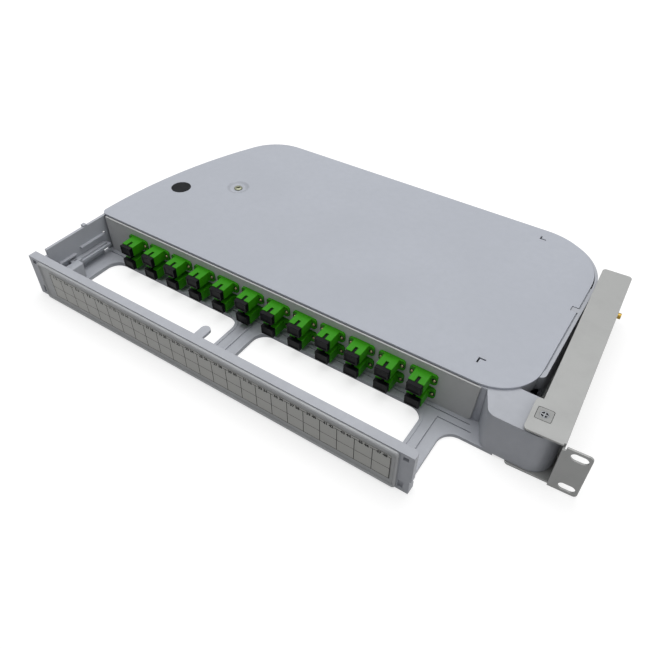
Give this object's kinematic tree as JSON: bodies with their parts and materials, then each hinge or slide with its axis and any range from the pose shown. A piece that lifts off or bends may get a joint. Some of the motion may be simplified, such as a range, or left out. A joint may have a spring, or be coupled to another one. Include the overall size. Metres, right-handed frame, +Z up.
{
  "type": "fibre optic patch panel",
  "caption": "One-unit swing-out fibre patch and splice panel: moulded tray on an upright pivot in a rack bracket, with two rows of square adapters and a lift-off lid.",
  "frame": {"origin": "middle of the ear's two rack slots, on the ear's rear face that bears on the rack rail", "axes": "+X to the right along the panel's front, +Y to the rear of the rack, +Z up"},
  "size_m": [0.4656, 0.2977, 0.043],
  "materials": {
    "bracket_steel": "satin grey paint",
    "bush_plastic": "smooth",
    "brass": "plain",
    "tray_plastic": "fine grain",
    "lid_plastic": "fine grain",
    "label_plastic": "satin",
    "strip_card": "paper, matt",
    "plate_grey": "satin",
    "adapter_green": "smooth",
    "cap_plastic": "smooth",
    "comb_plastic": "smooth",
    "screw_steel": "plated"
  },
  "bodies": {
    "bracket": {"rack_bracket": "bracket_steel", "pivot_bush_top": "bush_plastic", "pivot_bush_bottom": "bush_plastic", "earth_insert": "brass"},
    "tray": {"tray_base": "tray_plastic", "label_plate": "label_plastic", "designation_strip": "strip_card", "adapter_plate": "plate_grey", "adapter_01": "adapter_green", "adapter_02": "adapter_green", "adapter_03": "adapter_green", "adapter_04": "adapter_green", "adapter_05": "adapter_green", "adapter_06": "adapter_green", "adapter_07": "adapter_green", "adapter_08": "adapter_green", "adapter_09": "adapter_green", "adapter_10": "adapter_green", "adapter_11": "adapter_green", "adapter_12": "adapter_green", "adapter_13": "adapter_green", "adapter_14": "adapter_green", "adapter_15": "adapter_green", "adapter_16": "adapter_green", "adapter_17": "adapter_green", "adapter_18": "adapter_green", "adapter_19": "adapter_green", "adapter_20": "adapter_green", "adapter_21": "adapter_green", "adapter_22": "adapter_green", "adapter_23": "adapter_green", "adapter_24": "adapter_green", "pivot_screw_top": "screw_steel", "pivot_screw_bottom": "screw_steel", "splice_holder_left": "comb_plastic", "splice_holder_right": "comb_plastic", "bend_drum_left": "tray_plastic", "bend_drum_right": "tray_plastic", "cable_clamp_base": "comb_plastic", "cable_clamp_bar": "comb_plastic", "cable_clamp_screws": "screw_steel"},
    "cover": {"lid": "lid_plastic", "lid_plug": "cap_plastic", "lid_screw": "screw_steel"},
    "latch": {"side_latch": "comb_plastic"},
    "front_upper_caps": {"front_caps_upper": "cap_plastic"},
    "front_lower_caps": {"front_caps_lower": "cap_plastic"},
    "rear_upper_caps": {"rear_caps_upper": "cap_plastic"},
    "rear_lower_caps": {"rear_caps_lower": "cap_plastic"}
  },
  "joints": [
    {"name": "tray_swing", "type": "hinge", "parent": "bracket", "child": "tray", "pos_m": [-0.0292, 0.0174, 0], "axis": [0, 0, 1], "range_deg": [0, 92.7]},
    {"name": "lid_lift", "type": "slide", "parent": "tray", "child": "cover", "axis": [0, 0, 1], "range_m": [0, 0.04]},
    {"name": "latch_slide", "type": "slide", "parent": "tray", "child": "latch", "axis": [0.0471, 0.9989, 0], "range_m": [0, 0.006]},
    {"name": "front_upper_caps_pull", "type": "slide", "parent": "tray", "child": "front_upper_caps", "axis": [-0.0471, -0.9989, 0], "range_m": [0, 0.012]},
    {"name": "front_lower_caps_pull", "type": "slide", "parent": "tray", "child": "front_lower_caps", "axis": [-0.0471, -0.9989, 0], "range_m": [0, 0.012]},
    {"name": "rear_upper_caps_pull", "type": "slide", "parent": "tray", "child": "rear_upper_caps", "axis": [0.0471, 0.9989, 0], "range_m": [0, 0.012]},
    {"name": "rear_lower_caps_pull", "type": "slide", "parent": "tray", "child": "rear_lower_caps", "axis": [0.0471, 0.9989, 0], "range_m": [0, 0.012]}
  ]
}
